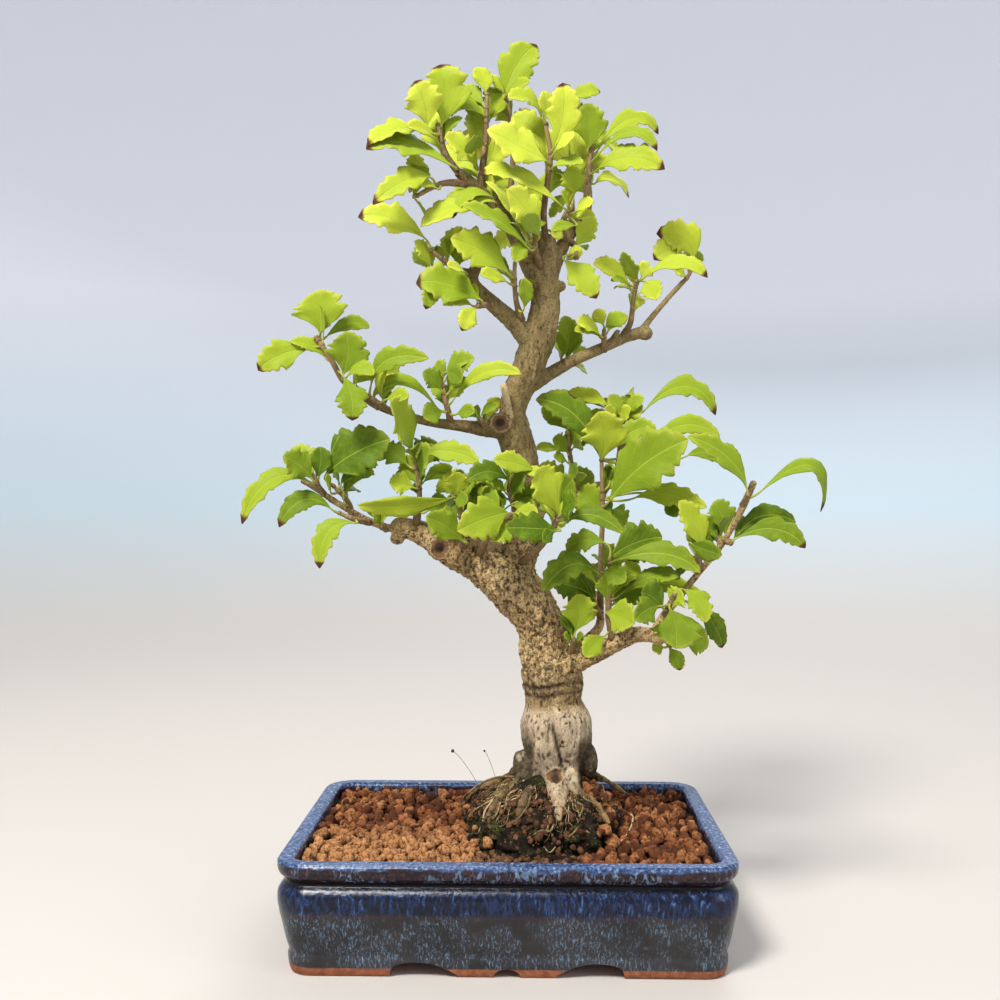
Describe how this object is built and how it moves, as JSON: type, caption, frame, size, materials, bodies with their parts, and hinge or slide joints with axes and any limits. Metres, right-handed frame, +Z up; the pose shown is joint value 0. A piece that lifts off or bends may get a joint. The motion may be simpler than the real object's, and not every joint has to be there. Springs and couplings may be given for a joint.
{
  "type": "potted bonsai tree",
  "caption": "Rose of sharon bonsai with a bare twisting trunk, lobed green leaves and surface roots, growing in a shallow rectangular blue-glazed ceramic pot.",
  "frame": {"origin": "on the surface that the pot stands on, under the middle of the whole object", "axes": "+Z up, +X along the pot's long side to the viewer's right, -Y towards the front seen in the picture"},
  "size_m": [0.2738, 0.1496, 0.4399],
  "materials": {
    "glaze": "glossy mottled blue over red-brown, unglazed brown feet",
    "soil": "rough baked clay grains",
    "moss": "rough dark old soil with moss",
    "screen": "matt",
    "bark": "rough pitted bark",
    "leaf": "soft leaf, yellow-green with paler margins; young twigs light tan"
  },
  "bodies": {
    "root": {"pot": "glaze", "soil": "soil", "root_ball": "moss", "drain_screen_left": "screen", "drain_screen_right": "screen", "wood": "bark", "shoot_crown_left_outer": "leaf", "shoot_crown_left_inner": "leaf", "shoot_crown_top": "leaf", "shoot_crown_centre": "leaf", "shoot_crown_right_top": "leaf", "shoot_crown_right_low": "leaf", "shoot_crown_right_mid": "leaf", "shoot_crown_front": "leaf", "shoot_crown_left_low": "leaf", "shoot_crown_limb": "leaf", "shoot_crown_stub_left": "leaf", "shoot_crown_twig": "leaf", "shoot_stub_branch": "leaf", "shoot_crown_back_left": "leaf", "shoot_crown_back_right": "leaf", "shoot_crown_back_low": "leaf", "shoot_trunk_back": "leaf", "shoot_right_upper_tip": "leaf", "shoot_right_upper_mid": "leaf", "shoot_right_upper_low": "leaf", "shoot_left_mid_tip": "leaf", "shoot_left_mid_middle": "leaf", "shoot_left_mid_root": "leaf", "shoot_left_mid_spur": "leaf", "shoot_left_low_tip": "leaf", "shoot_left_low_mid": "leaf", "shoot_left_low_front": "leaf", "shoot_left_low_spur": "leaf", "shoot_left_centre_top": "leaf", "shoot_left_centre": "leaf", "shoot_centre_front": "leaf", "shoot_centre_right": "leaf", "shoot_centre_top": "leaf", "shoot_centre_back_left": "leaf", "shoot_centre_back_right": "leaf", "shoot_right_centre_left": "leaf", "shoot_right_centre_top": "leaf", "shoot_right_top_small": "leaf", "shoot_right_long_tip": "leaf", "shoot_right_long_mid": "leaf", "shoot_right_long_left": "leaf", "shoot_right_long_low": "leaf", "shoot_right_low_mid": "leaf", "shoot_right_low_left": "leaf", "shoot_right_fork": "leaf", "shoot_right_low_end": "leaf", "shoot_right_low_under": "leaf", "shoot_low_back": "leaf"}
  },
  "joints": []
}
